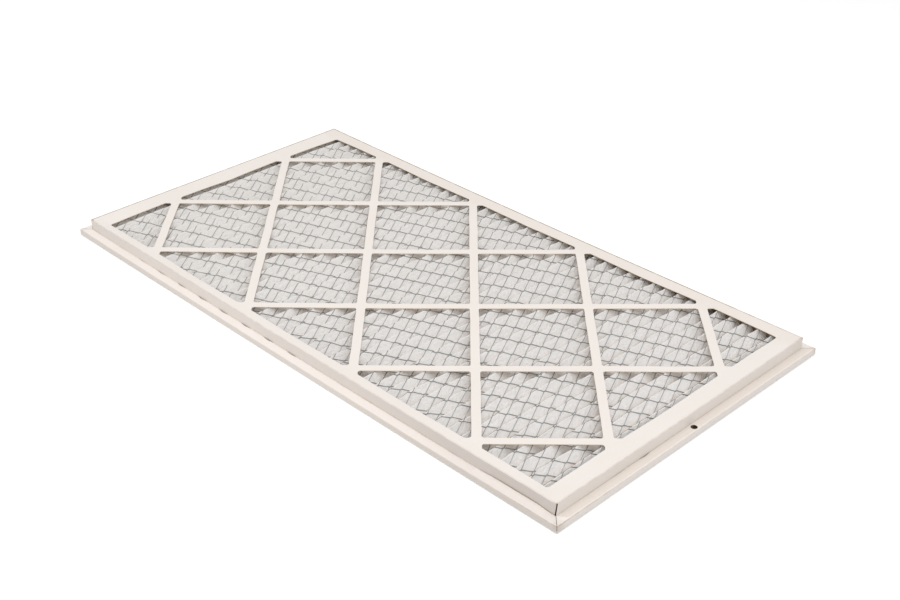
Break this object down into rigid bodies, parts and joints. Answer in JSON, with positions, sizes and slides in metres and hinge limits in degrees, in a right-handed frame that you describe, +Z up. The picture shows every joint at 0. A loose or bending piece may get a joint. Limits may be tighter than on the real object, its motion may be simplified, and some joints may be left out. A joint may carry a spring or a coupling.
{
  "type": "grille air filter",
  "caption": "Flat pleated air filter: white folded-board frame with a diamond lattice face, wire-backed pleats, and a flange that seats in a return-air grille.",
  "frame": {"origin": "centre of the underside of the back panel", "axes": "+X along the long side, towards the flange with the punched hole; +Y across; +Z up, out of the lattice face"},
  "size_m": [0.7494, 0.3938, 0.0205],
  "materials": {
    "face_board": "matte white coated board",
    "flange_board": "matte white coated board",
    "filter_media": "matte nonwoven",
    "net_wire": "dull dark wire"
  },
  "bodies": {
    "root": {"face_tray": "face_board", "flange_tray": "flange_board", "pleated_media": "filter_media", "wire_net": "net_wire"}
  },
  "joints": []
}
